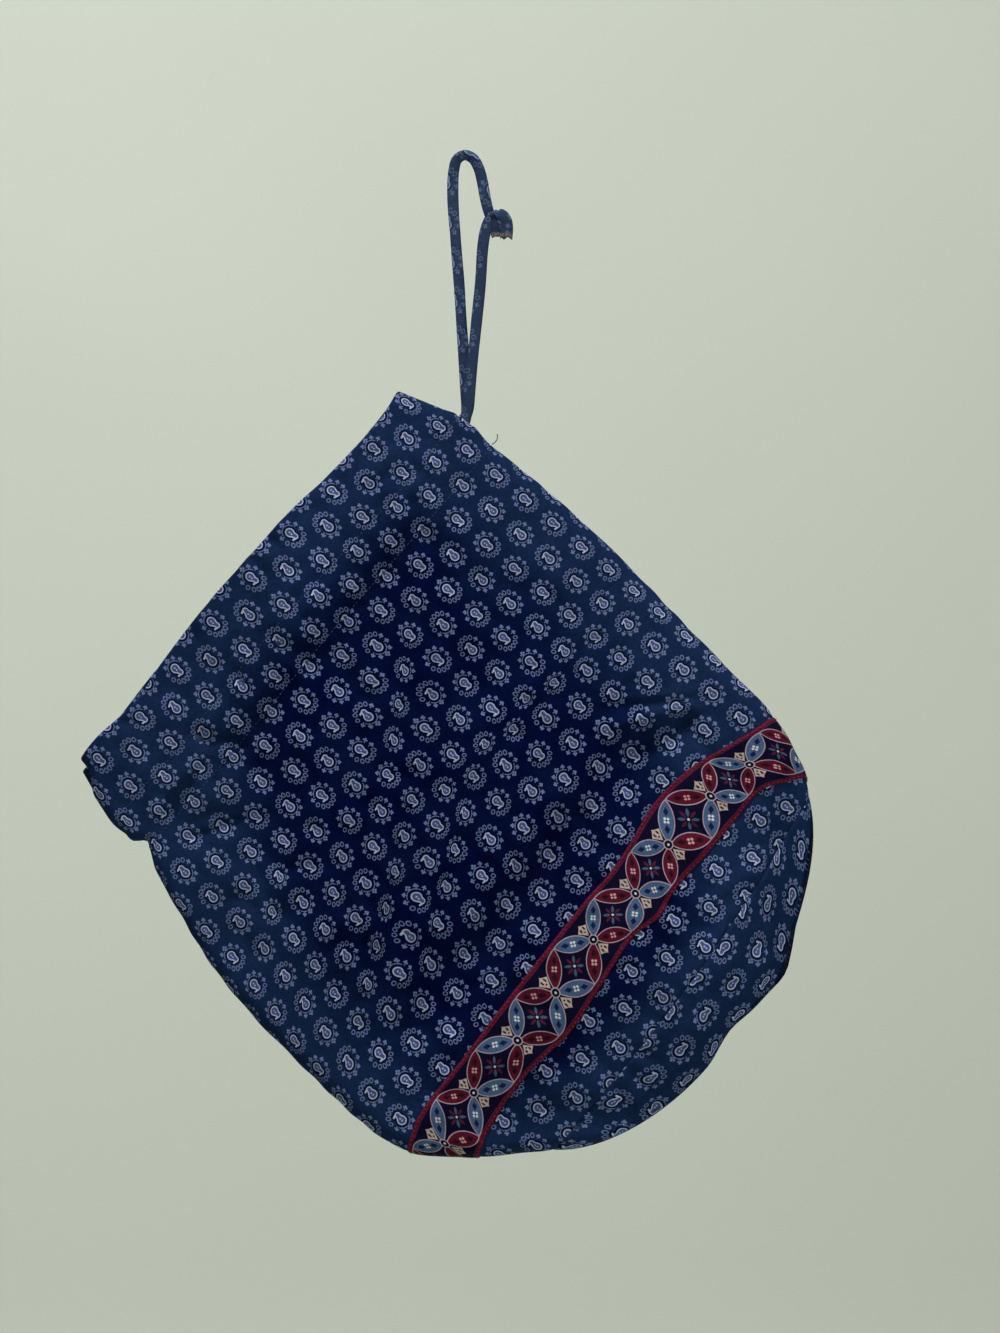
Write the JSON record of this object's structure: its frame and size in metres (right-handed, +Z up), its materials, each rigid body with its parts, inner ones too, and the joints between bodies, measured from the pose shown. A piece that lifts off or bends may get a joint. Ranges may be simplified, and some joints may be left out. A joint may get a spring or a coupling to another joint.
{
  "type": "drawstring bag",
  "caption": "Soft printed cotton drawstring bag with a border band, an oval base and a hemmed casing, hanging at a slant from the loop of its knotted cord.",
  "frame": {"origin": "the point that the loop of the cord hangs from", "axes": "+Z up, +Y towards the back of the bag, so the printed front faces -Y"},
  "size_m": [0.5008, 0.058, 0.6852],
  "materials": {
    "print_cotton": "plain-woven cotton printed with small pale blue motifs on navy, matt",
    "border_cotton": "plain-woven cotton printed with red and blue petals on near black, matt",
    "cord_cotton": "flat tube sewn from the same printed cotton, matt"
  },
  "bodies": {
    "root": {"front_panel": "print_cotton", "back_panel": "print_cotton", "base": "print_cotton", "band_front": "border_cotton", "band_back": "border_cotton", "drawstring": "cord_cotton", "knot": "cord_cotton"}
  },
  "joints": []
}
